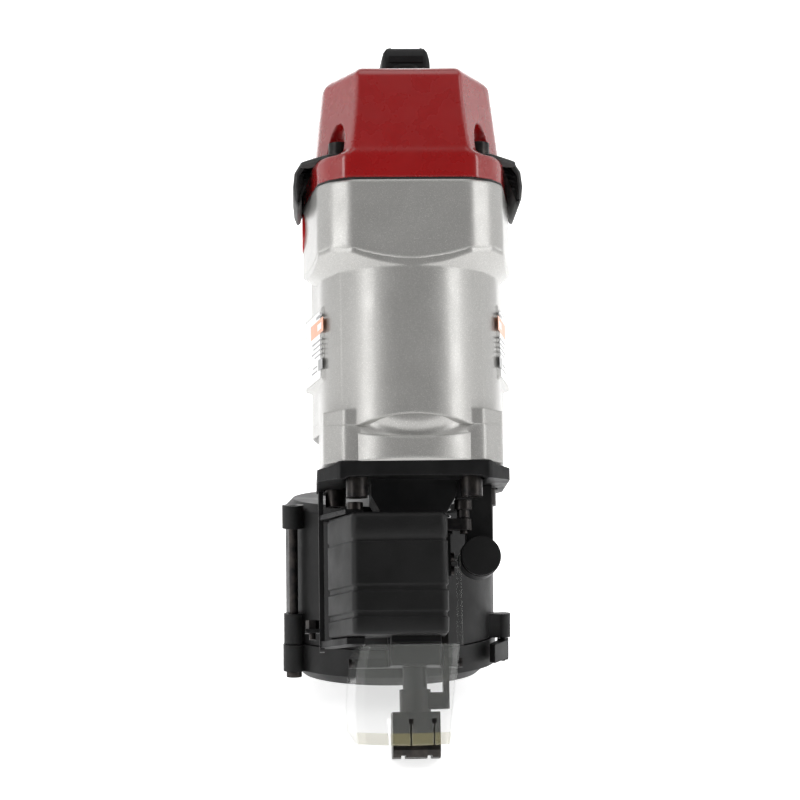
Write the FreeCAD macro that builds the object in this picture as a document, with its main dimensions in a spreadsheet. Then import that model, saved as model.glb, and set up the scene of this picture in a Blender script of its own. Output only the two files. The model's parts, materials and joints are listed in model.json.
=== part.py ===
"""Pneumatic coil nailer, about 0.45 m tall, as separately named pieces.

Tool frame, in millimetres: +Z runs up the driver axis from the contact tip, +X is the
operator's left-hand side as seen from the front, +Y points back along the handle.
The magazine pieces use their own frame, tilted about X.  The finished pieces are then
laid back by lean_angle, so that the tool rests on its tip and its two rubber feet.
"""
import FreeCAD, Part
import math
import os
import re

import Sketcher
from FreeCAD import Placement, Rotation, Vector

DIMS = {
    # the attitude at rest and the shift to the row's origin
    "lean_angle": 22.5,
    "shift_x": 5.0,
    "shift_y": -191.82,
    "shift_z": 3.47,
    # levels up the driver axis
    "plate_bottom": 168.5,
    "plate_top": 177.5,
    "body_top": 349.5,
    "gasket_thick": 1.5,
    "cap_height": 72.0,
    "boss_height": 7.0,
    "deflector_height": 18.0,
    # main housing
    "body_half_width": 58.0,
    "body_front": 54.0,
    "body_rear": 62.0,
    "barrel_radius": 57.0,
    "shoulder_base": 302.0,
    "chamber_radius": 46.0,
    "side_half_width": 61.0,
    # cylinder, piston and valve
    "sleeve_radius": 35.0,
    "sleeve_wall": 3.0,
    "sleeve_top": 344.0,
    "piston_bottom": 320.0,
    "piston_height": 16.0,
    "running_gap": 0.3,
    "driver_radius": 3.6,
    "driver_tip": 128.0,
    "bumper_height": 22.0,
    "valve_radius": 40.0,
    "valve_height": 24.0,
    "valve_lift": 6.0,
    # nose
    "nose_half_width": 16.0,
    "nose_bottom": 56.0,
    "channel_radius": 5.5,
    "nozzle_radius": 7.5,
    "foot_half_width": 14.5,
    "foot_height": 28.0,
    "foot_travel": 12.0,
    "hinge_x": -36.0,
    "hinge_y": -22.0,
    "cover_bottom": 73.0,
    "cover_top": 147.0,
    "cover_wall": 3.0,
    # magazine
    "magazine_tilt": 13.0,
    "magazine_x": -10.0,
    "magazine_y": 125.0,
    "magazine_z": 68.0,
    "drum_radius": 69.0,
    "drum_wall": 3.5,
    "drum_height": 109.0,
    "dish_height": 17.5,
    "dish_radius": 70.0,
    "pin_x": -64.0,
    "pin_y": -37.0,
    # handle
    "handle_z": 262.0,
    "handle_radius": 18.0,
    "handle_end": 296.0,
    "grip_wall": 3.5,
}

doc = FreeCAD.newDocument("coil_nailer")
sheet = doc.addObject("Spreadsheet::Sheet", "Dims")
for row, (alias, size) in enumerate(DIMS.items(), 1):
    sheet.set(f"A{row}", alias)
    sheet.set(f"B{row}", str(size))
    sheet.setAlias(f"B{row}", alias)
doc.recompute()

AXIS_TURN = {
    "x": Rotation(Vector(0, 1, 0), 90),
    "y": Rotation(Vector(1, 0, 0), -90),
    "z": Rotation(),
}
PLANE_ROLE = {"xy": "XY_Plane", "xz": "XZ_Plane", "yz": "YZ_Plane"}


def linked(text):
    """Point every sheet alias in an expression at the sheet."""
    return re.sub(r"[a-z][a-z_]*", lambda m: "Dims." + m.group() if m.group() in DIMS else m.group(), str(text))


def bind(obj, sizes):
    for path, text in sizes.items():
        obj.setExpression(path, linked(text))
    return obj


def box(name, x, y, z):
    """Box between (low, high) pairs along X, Y and Z."""
    sizes = {}
    for side, (low, high), letter in zip(("Length", "Width", "Height"), (x, y, z), "xyz"):
        sizes[side] = f"({high}) - ({low})"
        sizes[f"Placement.Base.{letter}"] = low
    return bind(doc.addObject("Part::Box", name), sizes)


def along(obj, axis, at, start):
    """Stand a round primitive on axis, at its two other coordinates, from start."""
    obj.Placement = Placement(Vector(), AXIS_TURN[axis])
    spots = iter(at)
    base = {letter: start if letter == axis else next(spots) for letter in "xyz"}
    return bind(obj, {f"Placement.Base.{letter}": text for letter, text in base.items()})


def rod(name, axis, radius, at, span):
    low, high = span
    obj = bind(doc.addObject("Part::Cylinder", name), {"Radius": radius, "Height": f"({high}) - ({low})"})
    return along(obj, axis, at, low)


def taper(name, axis, radii, at, span):
    low, high = span
    sizes = {"Radius1": radii[0], "Radius2": radii[1], "Height": f"({high}) - ({low})"}
    return along(bind(doc.addObject("Part::Cone", name), sizes), axis, at, low)


def prism(name, plane, corners, span, draft=0):
    """Polygon pad as a PartDesign body, from the low to the high end of span."""
    low, high = span
    body = doc.addObject("PartDesign::Body", name)
    origin_plane = next(f for f in body.Origin.OriginFeatures if f.Role == PLANE_ROLE[plane])
    sketch = body.newObject("Sketcher::SketchObject", name + "_sketch")
    sketch.AttachmentSupport = (origin_plane, [""])
    sketch.MapMode = "FlatFace"
    start = f"-({high})" if plane == "xz" else low
    bind(sketch, {"AttachmentOffset.Base.z": start})
    count = len(corners)
    spots = [Rotation(Vector(0, 0, 1), 360.0 * i / count).multVec(Vector(40, 0, 0)) for i in range(count)]
    for i in range(count):
        sketch.addGeometry(Part.LineSegment(spots[i], spots[(i + 1) % count]), False)
    for i in range(count):
        sketch.addConstraint(Sketcher.Constraint("Coincident", i, 2, (i + 1) % count, 1))
    for i, corner in enumerate(corners):
        for kind, text, now in zip(("DistanceX", "DistanceY"), corner, spots[i]):
            number = sketch.addConstraint(Sketcher.Constraint(kind, -1, 1, i, 1, now))
            bind(sketch, {f"Constraints[{number}]": text})
    pad = body.newObject("PartDesign::Pad", name + "_pad")
    pad.Profile = sketch
    bind(pad, {"Length": f"({high}) - ({low})"})
    pad.TaperAngle = draft
    doc.recompute()
    return body


def soften(body, radius, wanted):
    """Fillet the edges of a body's tip that wanted(centre, direction) accepts."""
    tip = body.Tip
    names = []
    for number, edge in enumerate(tip.Shape.Edges, 1):
        direction = edge.tangentAt(edge.FirstParameter)
        if wanted(edge.CenterOfMass, direction):
            names.append(f"Edge{number}")
    fillet = body.newObject("PartDesign::Fillet", body.Name + "_fillet")
    fillet.Base = (tip, names)
    bind(fillet, {"Radius": radius})
    doc.recompute()
    return body


def fuse(name, *parts):
    obj = doc.addObject("Part::MultiFuse", name)
    obj.Shapes = list(parts)
    obj.Refine = True
    return obj


def cut(name, base, *tools):
    obj = doc.addObject("Part::Cut", name)
    obj.Base = base
    obj.Tool = tools[0] if len(tools) == 1 else fuse(name + "_tools", *tools)
    return obj


def common(name, first, second):
    obj = doc.addObject("Part::Common", name)
    obj.Base = first
    obj.Tool = second
    return obj


def group(name, *parts):
    obj = doc.addObject("Part::Compound", name)
    obj.Links = list(parts)
    return obj


def tube(name, axis, radii, at, span):
    """Ring or tube with (inner, outer) radii."""
    inner = rod(name + "_bore", axis, radii[0], at, (f"{span[0]} - 1", f"{span[1]} + 1"))
    return cut(name, rod(name + "_outside", axis, radii[1], at, span), inner)


def coil(name, axis, radius, wire, at, span, turns):
    """Round-wire compression spring."""
    low, high = span
    helix = doc.addObject("Part::Helix", name + "_path")
    height = f"({high}) - ({low}) - 2 * ({wire})"
    bind(helix, {"Radius": radius, "Height": height, "Pitch": f"({height}) / {turns}"})
    circle = doc.addObject("Part::Circle", name + "_wire")
    circle.Placement = Placement(Vector(0, 0, 0), Rotation(Vector(1, 0, 0), 90))
    bind(circle, {"Radius": wire, "Placement.Base.x": radius})
    sweep = doc.addObject("Part::Sweep", name + "_sweep")
    sweep.Sections = [circle]
    sweep.Spine = (helix, ["Edge1"])
    sweep.Solid = True
    sweep.Frenet = True
    return along(group(name, sweep), axis, at, f"({low}) + ({wire})")


def cap_screw(name, axis, at, radii, head, shank, socket):
    """Socket head cap screw with (head, shank) radii and a span for each of its three features."""
    solid = fuse(name + "_solid", rod(name + "_head", axis, radii[0], at, head), rod(name + "_shank", axis, radii[1], at, shank))
    return cut(name, solid, rod(name + "_socket", axis, f"({radii[0]}) * 0.5", at, socket))


FINISHED = []
LEAN = Rotation(Vector(1, 0, 0), -DIMS["lean_angle"])
REST = Placement(Vector(DIMS["shift_x"], DIMS["shift_y"], DIMS["shift_z"]), LEAN)
TILT = Placement(
    Vector(DIMS["magazine_x"], DIMS["magazine_y"], DIMS["magazine_z"]),
    Rotation(Vector(1, 0, 0), DIMS["magazine_tilt"]),
)


def finish(label, obj, frame=Placement()):
    """Lay a finished piece back into its resting place; frame is its own frame in the tool's."""
    if obj.ExpressionEngine:
        obj.Label = label + "_form"
        obj = group(label + "_piece", obj)
    obj.Label = label
    obj.Placement = REST.multiply(frame).multiply(obj.Placement)
    FINISHED.append(obj)
    return obj


def upright(centre, direction):
    """Edges that run along Z."""
    return abs(direction.z) > 0.99


# ---------------------------------------------------------------- main housing and cap
SIDES = (-1, 1)

body_corners = [
    ("-36", "-body_front - 3"), ("36", "-body_front - 3"), ("50", "-body_front + 4"),
    ("57", "-body_front + 14"), ("66", "18"), ("60", "55"), ("42", "body_rear"),
    ("-42", "body_rear"), ("-60", "55"), ("-66", "18"), ("-57", "-body_front + 14"),
    ("-50", "-body_front + 4"),
]
band = soften(prism("body_band", "xy", body_corners, ("plate_top + 84", "body_top")), 5, upright)
shoulder = taper("body_shoulder", "z", ("barrel_radius - 1", "barrel_radius + 31"), (0, 0),
                 ("shoulder_base - 7", "shoulder_base + 17"))
shoulder_top = rod("body_shoulder_top", "z", 95, (0, 0), ("shoulder_base + 17", "body_top"))
upper_body = common("upper_body", band, fuse("shoulder_envelope", shoulder, shoulder_top))
barrel = rod("barrel", "z", "barrel_radius", (0, 0), ("plate_top", "body_top - 8"))
flank_corners = [
    ("-52", "-22"), ("-43", "-37"), ("43", "-37"), ("52", "-22"), ("side_half_width", "25"),
    ("57", "48"), ("40", "body_rear"), ("-40", "body_rear"), ("-57", "48"), ("-side_half_width", "25"),
]
flanks = soften(prism("flanks", "xy", flank_corners, ("plate_top + 24", "shoulder_base + 14")), 4, upright)
foot_flank = soften(prism("foot_flank", "xy", [
    ("-42.5", "-45"), ("42.5", "-45"), ("55", "-30"), ("57", "30"), ("44", "body_rear"),
    ("-44", "body_rear"), ("-57", "30"), ("-55", "-30")], ("plate_top", "plate_top + 32")), 4, upright)
root = rod("handle_root", "y", "handle_radius + 5", (0, "handle_z + 4"), (30, "body_rear + 14"))
handle_tube = rod("handle_tube", "y", "handle_radius", (0, "handle_z"), (40, "handle_end"))
PANEL_LEAN = math.radians(12)


def panel_spot(side, y, proud):
    """Point on the plane of a label panel, which turns a little to the front; proud is the height above it."""
    return (side * (57.4 + proud + y * math.sin(PANEL_LEAN)) / math.cos(PANEL_LEAN), y)


def panel_plate(name, side, near, far, bottom, top, levels):
    """Flat plate parallel to a label panel, between two heights above it."""
    low, high = levels
    return prism(name, "xy", [panel_spot(side, near, high), panel_spot(side, far, high), panel_spot(side, far, low),
                              panel_spot(side, near, low)], (bottom, top))


panels = [panel_plate(f"panel_{side}", side, -18, 26, 232, 278, (-5, 0)) for side in SIDES]
trigger_cheeks = [
    prism(f"trigger_cheek_{i}", "yz", [
        (52, 226), (76, 214), (100, 214), (104, 222), (104, 250), (52, 256)], (low, high))
    for i, (low, high) in enumerate(((-13, -9), (9, 13)))
]
hook_block = box("tail_block", (-21, 21), ("handle_end - 42", "handle_end"), ("handle_z - 26", "handle_z + 12"))
housing_solid = fuse("housing_solid", upper_body, barrel, flanks, foot_flank, root, handle_tube,
                     hook_block, *panels, *trigger_cheeks)
screw_spots = [(x * 43.5, y) for x in SIDES for y in (-38, 45)]
nose_spots = [(x * 35, -35) for x in SIDES] + [(x * 47, 12) for x in SIDES]
housing_cuts = [
    rod("lower_bore", "z", "sleeve_radius + 0.3", (0, 0), ("plate_top - 1", "plate_top + 34")),
    rod("air_chamber", "z", "chamber_radius", (0, 0), ("plate_top + 33", "sleeve_top - 22")),
    rod("upper_bore", "z", "chamber_radius - 5", (0, 0), ("sleeve_top - 23", "body_top + 1")),
    rod("handle_air", "y", "handle_radius - 5", (0, "handle_z"), (30, "handle_end + 1")),
    rod("valve_bore", "z", 6.3, (0, 84), (232, "handle_z")),
    prism("scoop", "yz", [(-60, 189), (-39, 197), (-60, 206)], (-38, 38)),
    box("trigger_gap", (-8.9, 8.9), (64, 106), (205, 243)),
    box("lever_gap", (-5, 5), (56.5, 66), (198, 232)),
    box("arm_recess", (16.3, 21.7), (38, 75), (170, 186)),
    box("arm_exit", (16.3, 21.7), ("body_rear", 76), (180, 236)),
    rod("trigger_pin_hole", "x", 2.3, (72, 236), (-15, 15)),
    rod("badge_seat", "x", 13, (18, 334), (-70, -64.6)),
]
housing_cuts += [rod(f"bracket_hole_{y}", "z", 2.8, (0, y), (235, 242)) for y in (275, 288)]
housing_cuts += [
    rod(f"cap_screw_hole_{i}", "z", 3.4, spot, ("body_top - 22", "body_top + 1"))
    for i, spot in enumerate(screw_spots)
]
housing_cuts += [
    rod(f"nose_bolt_hole_{i}", "z", 3.4, spot, ("plate_top - 1", "plate_top + 20"))
    for i, spot in enumerate(nose_spots)
]
finish("main_housing", cut("main_housing", housing_solid, *housing_cuts))

cap_base = "(body_top + gasket_thick)"
cap_top = "(body_top + gasket_thick + cap_height)"
gasket_ring = prism("gasket_ring", "xy", body_corners, ("body_top", cap_base))
gasket_cuts = [rod("gasket_bore", "z", "chamber_radius - 2", (0, 0), ("body_top - 1", f"{cap_base} + 1"))]
gasket_cuts += [
    rod(f"gasket_hole_{i}", "z", 3.6, spot, ("body_top - 1", f"{cap_base} + 1")) for i, spot in enumerate(screw_spots)
]
finish("cap_gasket", cut("cap_gasket", soften(gasket_ring, 5, upright), *gasket_cuts))

flange = soften(prism("cap_flange", "xy", body_corners, (cap_base, f"{cap_base} + 15")), 5, upright)
crown = soften(prism("cap_crown", "xy", [
    ("-42", "-body_front + 3"), ("42", "-body_front + 3"), ("58", "-body_front + 20"),
    ("59", "40"), ("42", "body_rear - 3"), ("-42", "body_rear - 3"), ("-59", "40"),
    ("-58", "-body_front + 20")], (f"{cap_base} + 10", cap_top), -5), 6, lambda c, d: abs(d.z) > 0.9)
front_panel = prism("cap_front_panel", "xy", [
    ("-41", "-body_front - 2"), ("41", "-body_front - 2"), ("41", 0), ("-41", 0)],
    (f"{cap_base} + 12", cap_top), -8)
crown_edge = taper("cap_crown_edge", "z", (100, 50), (0, 4), (f"{cap_base} + 24", f"{cap_top} + 6"))
crown_low = rod("cap_crown_low", "z", 100, (0, 4), (f"{cap_base}", f"{cap_base} + 24"))
crown_shape = common("crown_shape", fuse("crown_blocks", crown, front_panel), fuse("crown_limit", crown_low, crown_edge))
boss = rod("exhaust_boss", "z", 19, (0, 0), (f"{cap_top} - 4", f"{cap_top} + boss_height"))
cap_cuts = [
    rod("valve_chamber", "z", "valve_radius + 0.5", (0, 0), ("body_top", f"{cap_base} + 50")),
    rod("exhaust_port", "z", 4, (0, -12.5), (f"{cap_base} + 40", f"{cap_top} + boss_height + 1")),
    rod("deflector_screw_hole", "z", 2.7, (0, 0), (f"{cap_top} - 8", f"{cap_top} + boss_height + 1")),
]
for i, (x, y) in enumerate(screw_spots):
    side = 1 if x > 0 else -1
    end = 1 if y > 0 else -1
    cap_cuts.append(rod(f"screw_well_{i}", "z", 8.5, (x, y), (f"{cap_base} + 15", f"{cap_top} + 9")))
    cap_cuts.append(box(f"screw_channel_{i}", sorted((x - side * 6, x + side * 22)), sorted((y - end * 8.5, y + end * 24)),
                        (f"{cap_base} + 15", f"{cap_top} + 9")))
    cap_cuts.append(rod(f"cap_hole_{i}", "z", 4.4, (x, y), (f"{cap_base} - 1", f"{cap_base} + 16")))
finish("cylinder_cap", cut("cylinder_cap", fuse("cap_solid", flange, crown_shape, boss), *cap_cuts))

seat = f"{cap_base} + 18"
finish("cap_screws", group("cap_screw_set", *[
    cap_screw(f"cap_screw_{i}", "z", spot, (6.5, 3.1), (seat, f"{seat} + 8"), ("body_top - 20", seat),
              (f"{seat} + 4", f"{seat} + 9"))
    for i, spot in enumerate(screw_spots)]))

# ---------------------------------------------------------------- bumpers and exhaust deflector
for side, label in zip(SIDES, ("side_bumper_right", "side_bumper_left")):
    outer = [(side * x, y) for x, y in (
        (38, -46), (50, -46), (60, -38), (70, -14), (70.5, 22), (64, 44), (50, 54), (38, 54),
        (38, 38), (50, 38), (61, 38), (65.4, 18), (65.4, -12), (60.5, -32), (38, -32))]
    strap = soften(prism(f"{label}_strap", "xy", outer, (f"{cap_base} + 15.2", f"{cap_base} + 17.8")), 2, upright)
    band_corners = [(side * x, y) for x, y in (
        (66.6, -20), (70.5, -14), (71, 0), (71, 12), (70.5, 24), (66.6, 32))]
    rail = soften(prism(f"{label}_rail", "xy", band_corners, (f"{cap_base} - 3", f"{cap_base} + 18.5")), 1.5, upright)
    holes = [rod(f"{label}_hole_{y}", "z", 3.6, (side * 43.5, y), (f"{cap_base} + 14", f"{cap_base} + 19"))
             for y in (-38, 45)]
    finish(label, cut(f"{label}_cut", fuse(f"{label}_solid", strap, rail), *holes))

lip_z = f"{cap_top} + boss_height"
deflector_cap = fuse("deflector_blocks", rod("deflector_disc", "z", 19.5, (0, 0), (f"{lip_z} + 0.3", f"{lip_z} + 14")),
                     box("deflector_lip", (-16.5, 16.5), (-26, -6), (f"{lip_z} + 0.3", f"{lip_z} + 18")))
deflector_cuts = [
    rod("deflector_hollow", "z", 16.5, (0, 0), (f"{lip_z} - 1", f"{lip_z} + 10")),
    box("deflector_outlet", (-13, 13), (-27, -6), (f"{lip_z} - 1", f"{lip_z} + 12")),
    rod("deflector_bore", "z", 3.2, (0, 0), (f"{lip_z} + 9", f"{lip_z} + 19")),
]
deflector_post = tube("deflector_post", "z", (3.2, 6), (0, 0), (f"{lip_z} + 0.3", f"{lip_z} + 12"))
finish("exhaust_deflector", fuse("exhaust_deflector", cut("deflector_shell", deflector_cap, *deflector_cuts), deflector_post))
finish("deflector_screw", cap_screw("deflector_screw", "z", (0, 0), (5.5, 2.5), (f"{lip_z} + 14.4", f"{lip_z} + 17.4"),
                                    (f"{cap_top} - 7", f"{lip_z} + 14.4"), (f"{lip_z} + 15.6", f"{lip_z} + 18")))

# ---------------------------------------------------------------- cylinder, piston and head valve
bore = "(sleeve_radius - sleeve_wall)"
sleeve = tube("cylinder_tube", "z", (bore, "sleeve_radius"), (0, 0), ("plate_top", "sleeve_top"))
collar = tube("cylinder_collar", "z", ("sleeve_radius - 1", "chamber_radius - 5.3"), (0, 0), ("sleeve_top - 18", "sleeve_top - 8"))
ports = [rod(f"return_port_{i}", "x", 2, ("0", f"plate_top + {z}"), (-40, 40)) for i, z in enumerate((44, 62))]
grooves = [tube(f"sleeve_groove_{z}", "z", ("sleeve_radius - 1.2", "sleeve_radius + 1"), (0, 0),
                (f"plate_top + {z}", f"plate_top + {z} + 3")) for z in (12, 24)]
finish("cylinder_sleeve", cut("cylinder_sleeve", fuse("cylinder_solid", sleeve, collar), *ports, *grooves))
finish("sleeve_rings", group("sleeve_rings", *[
    tube(f"sleeve_ring_{z}", "z", ("sleeve_radius - 1", "sleeve_radius + 0.2"), (0, 0),
         (f"plate_top + {z} + 0.2", f"plate_top + {z} + 2.8")) for z in (12, 24)]))
finish("drive_bumper", cut("drive_bumper", fuse(
    "drive_bumper_solid", rod("bumper_base", "z", f"{bore} - 0.3", (0, 0), ("plate_top", "plate_top + bumper_height - 8")),
    taper("bumper_crown", "z", (f"{bore} - 0.3", f"{bore} - 7"), (0, 0),
          ("plate_top + bumper_height - 8", "plate_top + bumper_height"))),
    rod("bumper_bore", "z", 9, (0, 0), ("plate_top - 1", "plate_top + bumper_height + 1"))))

piston_top = "(piston_bottom + piston_height)"
crown_disc = rod("piston_disc", "z", f"{bore} - running_gap", (0, 0), ("piston_bottom", piston_top))
finish("main_piston", cut("main_piston", crown_disc,
                          tube("piston_groove", "z", (f"{bore} - 3.5", f"{bore} + 1"), (0, 0), ("piston_bottom + 6", "piston_bottom + 10")),
                          rod("piston_dish", "z", 22, (0, 0), (f"{piston_top} - 3", f"{piston_top} + 1")),
                          rod("driver_socket", "z", "driver_radius + 2", (0, 0), ("piston_bottom - 1", "piston_bottom + 9"))))
finish("piston_ring", tube("piston_ring", "z", (f"{bore} - 3.3", f"{bore} - 0.1"), (0, 0), ("piston_bottom + 6.2", "piston_bottom + 9.8")))
finish("driver_blade", cut("driver_blade", fuse(
    "driver_solid", rod("driver_rod", "z", "driver_radius", (0, 0), ("driver_tip", "piston_bottom + 2")),
    rod("driver_head", "z", "driver_radius + 1.7", (0, 0), ("piston_bottom + 0.2", "piston_bottom + 9"))),
    box("driver_flat", (2.6, 9), (-9, 9), ("driver_tip - 1", "piston_bottom - 40"))))

valve_base = "(sleeve_top + 0.4)"
valve_top = "(sleeve_top + 0.4 + valve_height)"
valve_shape = fuse("valve_solid", tube("valve_wall", "z", (25, "valve_radius - 4"), (0, 0), (valve_base, f"{valve_top} - 8")),
                   tube("valve_rim", "z", (25, "valve_radius"), (0, 0), (f"{valve_top} - 12", valve_top)))
finish("head_valve", cut("head_valve", valve_shape,
                         tube("valve_spring_seat", "z", (29, 35), (0, 0), (f"{valve_top} - 6", f"{valve_top} + 1"))))
finish("head_valve_spring", coil("head_valve_spring", "z", 32, 1.3, (0, 0), (f"{valve_top} - 5.9", f"{cap_base} + 49.8"), 4))
stop_shape = fuse("stop_solid", rod("stop_pad", "z", 12, (0, 0), (f"{piston_top} - 2.5", f"{piston_top} + 8")),
                  rod("stop_post", "z", 9, (0, 0), (f"{piston_top} + 7", f"{cap_base} + 50")))
finish("piston_stop", stop_shape)

# ---------------------------------------------------------------- handle, trigger and valve
grip_span = (82, "handle_end - 60")
grip = tube("grip_tube", "y", ("handle_radius + 0.1", "handle_radius + grip_wall"), (0, "handle_z"), ("body_rear + 46", "handle_end - 44"))
finish("grip_sleeve", grip)
plug_y = "(handle_end + 8)"
end_plate = soften(prism("end_plate", "xz", [
    (-21, "handle_z - 26"), (21, "handle_z - 26"), (21, "handle_z + 12"), (12, "handle_z + 20"),
    (-12, "handle_z + 20"), (-21, "handle_z + 12")], ("handle_end", plug_y)), 4, lambda c, d: abs(d.y) > 0.99)
end_spots = [(x * 16.5, f"handle_z - {z}") for x in SIDES for z in (21, 0)]
finish("end_cap", cut("end_cap", end_plate, rod("plug_thread", "y", 9, (0, "handle_z"), ("handle_end - 1", f"{plug_y} + 1")),
                      *[rod(f"end_hole_{i}", "y", 2.7, spot, ("handle_end - 1", f"{plug_y} + 1")) for i, spot in enumerate(end_spots)]))
finish("end_cap_screws", group("end_cap_screws", *[
    cap_screw(f"end_screw_{i}", "y", spot, (4.2, 2.2), (plug_y, f"{plug_y} + 4.5"), ("handle_end", plug_y),
              (f"{plug_y} + 2", f"{plug_y} + 5")) for i, spot in enumerate(end_spots)]))
plug_parts = [
    rod("plug_shank", "y", 8.7, (0, "handle_z"), ("handle_end + 1", plug_y)),
    rod("plug_hex", "y", 11, (0, "handle_z"), (plug_y, f"{plug_y} + 9")),
    rod("plug_neck", "y", 5.9, (0, "handle_z"), (f"{plug_y} + 9", f"{plug_y} + 33")),
    rod("plug_collar", "y", 7.2, (0, "handle_z"), (f"{plug_y} + 9", f"{plug_y} + 13")),
    rod("plug_bulge", "y", 7.2, (0, "handle_z"), (f"{plug_y} + 19", f"{plug_y} + 23")),
]
finish("air_plug", cut("air_plug", fuse("air_plug_solid", *plug_parts),
                       rod("plug_bore", "y", 3.6, (0, "handle_z"), ("handle_end", f"{plug_y} + 34"))))
finish("air_filter", cut("air_filter", rod("filter_body", "y", "handle_radius - 5.4", (0, "handle_z"), ("handle_end - 22", "handle_end - 2")),
                         rod("filter_bore", "y", 8, (0, "handle_z"), ("handle_end - 18", "handle_end - 1"))))

trigger_profile = [(68.6, 239.6), (74, 239.8), (79.5, 232.8), (100, 231.8), (103, 224), (99, 217), (93, 213.5), (90, 214.5),
                   (95, 222), (92, 226), (80, 227.5), (68.6, 231)]
trigger_body = soften(prism("trigger_body", "yz", trigger_profile, (-8.2, 8.2)), 1.2, lambda c, d: abs(d.x) > 0.99)
trigger_shell = cut("trigger_shell", trigger_body, rod("trigger_bore", "x", 2.4, (72, 236), (-9, 9)),
                    box("trigger_slot", (-4.6, 4.6), (75, 99.5), (212, 229.5)))
finish("trigger", fuse("trigger", trigger_shell, rod("lever_pin", "x", 1.2, (97, 226), (-7, 7))))
finish("trigger_pin", rod("trigger_pin", "x", 2.1, (72, 236), (-14, 14)))
lever = prism("lever_plate", "yz", [(98.9, 227.3), (97, 223.6), (67, 203.6), (64.4, 204.6), (65.5, 207), (95, 228.6)], (-4, 4))
finish("contact_lever", cut("contact_lever", lever, rod("lever_bore", "x", 1.5, (97, 226), (-5, 5))))
finish("trigger_valve_housing", cut(
    "trigger_valve_housing", rod("valve_cup", "z", 6, (0, 84), (240.5, 258)),
    rod("valve_cup_bore", "z", 2.9, (0, 84), (240, 259)), rod("valve_cup_chamber", "z", 4.7, (0, 84), (246, 256))))
finish("trigger_valve_stem", fuse("trigger_valve_stem", rod("stem_rod", "z", 2.6, (0, 84), (233.2, 255)),
                                  rod("stem_disc", "z", 4.3, (0, 84), (246.4, 248))))
finish("trigger_valve_spring", coil("trigger_valve_spring", "z", 3.6, 0.6, (0, 84), (248.1, 255.8), 3))

finish("side_labels", group("side_label_pair", *[
    panel_plate(f"side_label_{side}", side, -16, 24, 234, 276, (0, 0.8)) for side in SIDES]))
finish("side_badge", rod("side_badge", "x", 12.6, (18, 334), (-66.4, -64.6)))

# ---------------------------------------------------------------- nose
plate_outline = soften(prism("plate_outline", "xy", [
    ("-59", "-28"), ("-46", "-46"), ("46", "-46"), ("59", "-28"), ("59", "30"), ("46", "46"), ("-46", "46"),
    ("-59", "30")], ("plate_bottom - 2", "plate_top")), 4, upright)
plate_profile = prism("plate_profile", "xz", [
    ("-60", "plate_bottom - 1"), ("-44", "plate_bottom - 2"), ("-40", "plate_bottom"), ("40", "plate_bottom"),
    ("44", "plate_bottom - 2"), ("60", "plate_bottom - 1"), ("60", "plate_top - 3"), ("50", "plate_top - 2"),
    ("46", "plate_top"), ("-46", "plate_top"), ("-50", "plate_top - 2"), ("-60", "plate_top - 3")], (-50, 50))
nose_plate = common("nose_plate", plate_outline, plate_profile)
funnel = prism("nose_funnel", "xz", [
    ("-26", "plate_bottom + 1"), ("26", "plate_bottom + 1"), ("26", "plate_bottom - 10"),
    ("20", "plate_bottom - 20.4"), ("-20", "plate_bottom - 20.4"), ("-26", "plate_bottom - 10")], (-27, 20))
guide = box("nose_guide", ("-nose_half_width", "nose_half_width"), (-1, 9), ("nose_bottom", "plate_bottom"))
lower_guide = box("lower_guide", (-15, 15), (-16, 0), ("nose_bottom", 68.3))
nozzle = rod("nose_nozzle", "z", "nozzle_radius", (0, 0), (26, "nose_bottom + 1"))
shield_bar = box("shield_bar", (-36.4, 26.6), (6.6, 14), ("nose_bottom", "nose_bottom + 5.5"))
rails = [
    prism("feed_rail_left", "yz", [(8, 62), (51, 62), (51, 80), (41, 125), (8, 125)], (-8.3, -5.3)),
    prism("feed_rail_right", "yz", [(8, 62), (51, 62), (51, 80), (44.3, 111), (8, 111)], (5.3, 8.3)),
]
latch_lug = box("latch_lug", (26, 36), (-26, -14), (156, "plate_bottom + 1"))
nose_solid = fuse("nose_solid", nose_plate, funnel, guide, lower_guide, nozzle, shield_bar, latch_lug, *rails)
nose_cuts = [
    rod("driver_channel", "z", "channel_radius", (0, 0), (25, "plate_top + 1")),
    box("nail_slot", (-2.6, 2.6), (0, 10), (62, 122)),
    box("nail_head_slot", (-5, 5), (0, 10), (121, 146)),
    box("funnel_notch", (14, 27), (-8, 21), (146, "plate_bottom")),
    box("arm_notch", (16.3, 21.7), (27, 47), ("plate_bottom - 3", "plate_top + 1")),
    rod("latch_pin_hole", "z", 2.6, (30.5, -20), (150, "plate_bottom")),
]
nose_cuts += [rod(f"plate_hole_{i}", "z", 4.4, spot, ("plate_bottom - 3", "plate_top + 1"))
              for i, spot in enumerate(nose_spots)]
nose_cuts += [rod(f"bolt_recess_{i}", "z", 8, spot, ("plate_bottom - 3", "plate_bottom")) for i, spot in enumerate(nose_spots)]
nose_cuts += [rod(f"shield_tap_{i}", "x", 1.6, (10.3, 58.8), span) for i, span in enumerate(((-37, -26), (17, 27)))]
finish("nose_body", cut("nose_body", nose_solid, *nose_cuts))
finish("nose_bolts", group("nose_bolts", *[
    cap_screw(f"nose_bolt_{i}", "z", spot, (6.5, 3.1), ("plate_bottom - 12", "plate_bottom"),
              ("plate_bottom", "plate_top + 18"), ("plate_bottom - 13", "plate_bottom - 7"))
    for i, spot in enumerate(nose_spots)]))

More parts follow.
